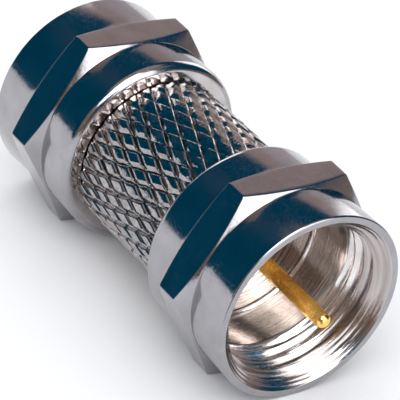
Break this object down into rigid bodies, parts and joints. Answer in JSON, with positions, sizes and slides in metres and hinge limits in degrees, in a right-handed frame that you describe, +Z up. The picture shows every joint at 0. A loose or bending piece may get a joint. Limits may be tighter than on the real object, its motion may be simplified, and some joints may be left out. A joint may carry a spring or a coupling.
{
  "type": "coaxial f connector coupler",
  "caption": "Knurled barrel coupler for coaxial cable, with a captive hexagonal coupling nut at each end and a gold pin from mouth to mouth.",
  "frame": {"origin": "under the middle of the coupler, on the surface that it lies on", "axes": "+X along the coupler's axis towards its front mouth, +Z up, with a flat of each hexagon down"},
  "size_m": [0.025, 0.0128, 0.011],
  "materials": {
    "nickel_plate": "polished nickel plate on brass",
    "turned_nickel": "nickel plate with turning marks",
    "insulator": "natural white plastic",
    "gold_plate": "gold plate on brass"
  },
  "bodies": {
    "barrel": {"knurled_body": "nickel_plate", "front_ferrule": "turned_nickel", "rear_ferrule": "turned_nickel", "front_insulator": "insulator", "rear_insulator": "insulator", "centre_pin": "gold_plate"},
    "front_nut": {"front_coupling_nut": "nickel_plate"},
    "rear_nut": {"rear_coupling_nut": "nickel_plate"}
  },
  "joints": [
    {"name": "front_nut_turn", "type": "hinge", "parent": "barrel", "child": "front_nut", "pos_m": [0.00432, 0, 0.0055], "axis": [1, 0, 0], "continuous": true},
    {"name": "rear_nut_turn", "type": "hinge", "parent": "barrel", "child": "rear_nut", "pos_m": [-0.00432, 0, 0.0055], "axis": [-1, 0, 0], "continuous": true}
  ]
}
